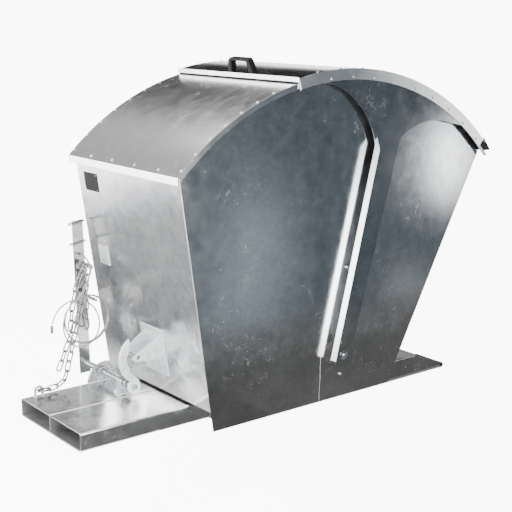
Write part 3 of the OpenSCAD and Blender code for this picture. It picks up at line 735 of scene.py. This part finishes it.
def glowing_floor(name, z, glow):
    """A pale level floor that gives off light."""
    s = material(name)
    look = s.finish(Base_Color=grey(0.86), Roughness=0.7, Emission_Color=grey(1.0), Emission_Strength=glow)
    span = (-STAGE_REACH, STAGE_REACH)
    return plain_plane(name, lying(span, span, z), look)


def make_stage():
    """A pale floor and pale surroundings; reflections and bounced light get a less bright floor."""
    seen_only_by(glowing_floor("floor", 0, FLOOR_GLOW), camera=True)
    seen_only_by(glowing_floor("floor_in_reflections", -MM, MIRRORED_FLOOR_GLOW), diffuse=True, glossy=True)
    work = bmesh.new()
    bmesh.ops.create_uvsphere(work, u_segments=48, v_segments=24, radius=STAGE_REACH)
    dome = bpy.data.objects.new("surroundings", bpy.data.meshes.new("surroundings"))
    work.to_mesh(dome.data)
    work.free()
    s = material("pale_surroundings")
    dome.data.materials.append(s.finish(Base_Color=grey(0), Roughness=1.0, Emission_Color=grey(1.0),
                                        Emission_Strength=DOME_GLOW))
    bpy.context.collection.objects.link(dome)
    seen_only_by(dome, camera=True)


# ---------------------------------------------------------------- flags that only reflections see

# A soft bright or dark patch on a flag: its middle, its reach along x, y and z, and its colour
Glow = namedtuple("Glow", "centre reach colour")

# Metres: the plane of the upright flags on the near side, and the height of the lying ones
FLAG_Y = -1.3
FLAG_Z = 0.002
# Where the front flag meets the flange card, and where the lying flags meet
CARD_END = -0.15
WALL_FLAG_END = -0.62
NEAR_FLAG_END = -0.36
FLAG_END = 6


def flag(name, corners, tone, *glows):
    """A cloudy flag round a tone, with glows that are full within a quarter of their reach."""
    s = material(name)
    dark, light = (tuple(factor * part for part in tone) + (1,) for factor in (0.8, 1.3))
    colour = s.mix(s.ramp(s.noise(1.3, 2), 0.3, 0.7), dark, light)
    for glow in glows:
        shifted = s.node("ShaderNodeMapping", {"Vector": s.coords, "Location": glow.centre,
                                               "Scale": glow.reach}, vector_type="TEXTURE")
        reach = s.node("ShaderNodeVectorMath", {0: shifted.outputs["Vector"]}, operation="LENGTH")
        near = s.math("POWER", s.ramp(reach.outputs["Value"], 1.0, 0.25), 1.6)
        colour = s.mix(near, colour, glow.colour)
    look = s.finish(Base_Color=grey(0), Emission_Color=colour, Emission_Strength=1.0, Roughness=1.0,
                    Specular_IOR_Level=0.0)
    seen_only_by(plain_plane(name, corners, look), glossy=True)


def mirrored(point, normal, axis, at):
    """Where the camera sees, mirrored in a surface at point, the plane where one axis has a value."""
    ray = (point - bpy.context.scene.camera.location).reflect(Vector(normal).normalized())
    return point + ray * ((at - point[axis]) / ray[axis])


def in_plate(x, z):
    """The spot on the front flag that the near side plate mirrors at x and z, as for mm()."""
    return mirrored(mm(x, PLATE_FACE, z), (0, -1, 0), 1, FLAG_Y)


def in_wall(y, z):
    """The spot on the floor that the left wall mirrors at y and z, as for mm()."""
    return mirrored(mm(wall_x(z), y, z), (-1, 0, -WALL_LEAN), 2, FLAG_Z)


def flags_near_side():
    """A dark flag with soft patches, which the plates mirror, and a card for the flange of the lid's leg."""
    flag("front_flag", upright((CARD_END, FLAG_END), FLAG_Y, (0, 2.6)), (0.11, 0.14, 0.165),
         Glow(in_plate(-440, 560), (0.42, 1, 0.8), (0.46, 0.54, 0.6, 1)),
         Glow(in_plate(480, 880), (0.42, 1, 0.45), (0.5, 0.52, 0.55, 1)),
         Glow(in_plate(600, 915), (0.26, 1, 0.38), grey(8)),
         Glow(in_plate(360, 380), (0.25, 1, 0.3), (0.5, 0.52, 0.54, 1)))
    flag("flange_card", upright((-1.9, CARD_END), FLAG_Y, (0, 1.5)), (1.5, 1.5, 1.5),
         Glow(Vector((-0.8, FLAG_Y, 0.65)), (0.8, 1, 0.8), grey(24)))


def cards_behind():
    """Cards beyond the object: the edge of the lid's leg mirrors the first, and level tops the second."""
    flag("horizon_card", [(-3.2, 1.6, 0.3), (-3.2, 5.5, 0.3), (-3.2, 5.5, 2.0), (-3.2, 1.6, 2.0)],
         (10, 10, 10))
    flag("back_card", upright((0.2, 3.6), 3, (0.2, 1.35)), (1.1, 1.1, 1.1))


def flags_on_floor():
    """Dim patches of floor, which the plates' feet, the pockets' sides and the left wall mirror."""
    flag("floor_flag", lying((WALL_FLAG_END, FLAG_END), (FLAG_Y, NEAR_FLAG_END), FLAG_Z),
         (0.175, 0.174, 0.172))
    flag("far_floor_flag", lying((WALL_FLAG_END, FLAG_END), (NEAR_FLAG_END, 4), FLAG_Z), (0.5, 0.54, 0.57),
         Glow(Vector((1.1, 1.6, FLAG_Z)), (1.6, 0.9, 1), grey(1.9)))
    flag("pocket_flag", lying((-1.3, -0.2), (-0.8, -0.225), 2 * FLAG_Z), (0.13, 0.13, 0.13))
    flag("wall_flag", lying((-3.4, WALL_FLAG_END), (-0.2, 4), FLAG_Z), (0.5, 0.51, 0.52),
         Glow(in_wall(60, 980), (1.5, 1.3, 1), (5.5, 5.6, 5.8, 1)),
         Glow(in_wall(310, 420), (0.3, 0.75, 1), (0.12, 0.12, 0.13, 1)),
         Glow(in_wall(60, 300), (0.4, 0.4, 1), (0.2, 0.2, 0.21, 1)),
         Glow(in_wall(-210, 170), (0.2, 0.24, 1), grey(12)),
         Glow(in_wall(180, 420), (0.14, 0.2, 1), grey(2.2)))


# ---------------------------------------------------------------- light

# Radiance of the surround at the sine of the elevation, and the share of it from left to right
BY_HEIGHT = [(0.0, 3.4), (0.12, 3.2), (0.2, 1.0), (0.25, 0.8), (0.5, 0.9), (0.75, 1.2), (1.0, 2.0)]
LEFT_TO_RIGHT = [(0.0, 1.0), (0.3, 0.8), (0.46, 0.86), (0.53, 1.1), (0.59, 0.3), (0.65, 0.04),
                 (0.73, 0.07), (0.79, 0.04), (0.85, 0.08), (0.92, 0.8)]
# The share comes in between these heights
SHARE_HEIGHTS = (0.14, 0.23)


def make_surround():
    """Soft light from all round, which differs from left to right only above the horizon."""
    s = Shader(bpy.data.worlds.new("studio"), "Background", "Generated")
    by_height, peak = s.stops(s.along("Z"), BY_HEIGHT)
    by_side, _ = s.stops(s.ramp(s.along("X"), -1.0, 1.0), LEFT_TO_RIGHT)
    high = s.ramp(s.along("Z"), *SHARE_HEIGHTS)
    sided = s.mix(high, by_height, by_side)
    dimmed = s.mix(high, grey(1), by_height)
    bpy.context.scene.world = s.finish(Color=s.mix(1.0, sided, dimmed, "MULTIPLY"), Strength=peak)


def area_light(name, place, target, size, power):
    """A soft square light that points at target."""
    light = bpy.data.objects.new(name, bpy.data.lights.new(name, "AREA"))
    light.data.energy = power
    light.data.size = size
    light.location = place
    light.rotation_euler = (Vector(target) - Vector(place)).to_track_quat("-Z", "Y").to_euler()
    light.visible_camera = False
    bpy.context.collection.objects.link(light)


def make_lights():
    """Two soft lights from the left and one from above."""
    area_light("key", (-3.6, -0.6, 3.0), (-0.2, 0, 0.5), 2.4, 110)
    area_light("left_box", (-3.0, 0.9, 0.9), (-0.5, 0, 0.5), 1.4, 20)
    area_light("top", (0.4, 1.0, 4.2), (0, 0, 0.8), 3.4, 110)


make_stage()
make_surround()
flags_near_side()
cards_behind()
flags_on_floor()
make_lights()
